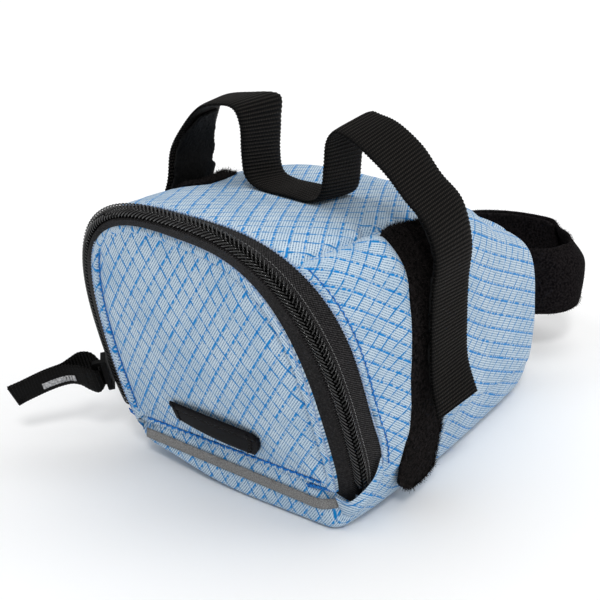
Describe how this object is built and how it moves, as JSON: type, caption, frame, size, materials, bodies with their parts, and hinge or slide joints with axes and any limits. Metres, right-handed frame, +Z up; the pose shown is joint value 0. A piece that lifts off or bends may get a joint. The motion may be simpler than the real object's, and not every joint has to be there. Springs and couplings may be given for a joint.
{
  "type": "bicycle saddle bag",
  "caption": "Wedge-shaped ripstop bag with a zip-open rear flap, a webbing strap with loops for the saddle rails and a soft strap for the seat post.",
  "frame": {"origin": "middle of the flat base, on the surface that the bag stands on", "axes": "+Z up, +Y towards the nose and the seat post, +X to the right as seen from the rear"},
  "size_m": [0.1425, 0.2124, 0.1206],
  "materials": {
    "ripstop": "fine pale blue weave with a diamond grid of blue ripstop threads",
    "zip_tape": "fine black twill",
    "zip_coil": "glossy black coil",
    "zip_slider": "black paint",
    "ribbon": "ribbed black ribbon",
    "webbing": "ribbed black webbing",
    "hook_tape": "stiff black hooks",
    "loop_tape": "brushed black pile",
    "reflective": "grey beaded reflective film"
  },
  "bodies": {
    "root": {"body_shell": "ripstop", "rear_panel": "ripstop", "zipper_tape_inner": "zip_tape", "zipper_coil": "zip_coil", "zipper_tape_outer": "zip_tape", "zipper_slider": "zip_slider", "zipper_pull": "ribbon", "light_loop": "webbing", "reflective_strip": "reflective", "rail_strap": "webbing", "hook_patch_left": "hook_tape", "hook_patch_right": "hook_tape", "loop_band_left": "loop_tape", "loop_band_right": "loop_tape", "post_strap": "loop_tape"}
  },
  "joints": []
}
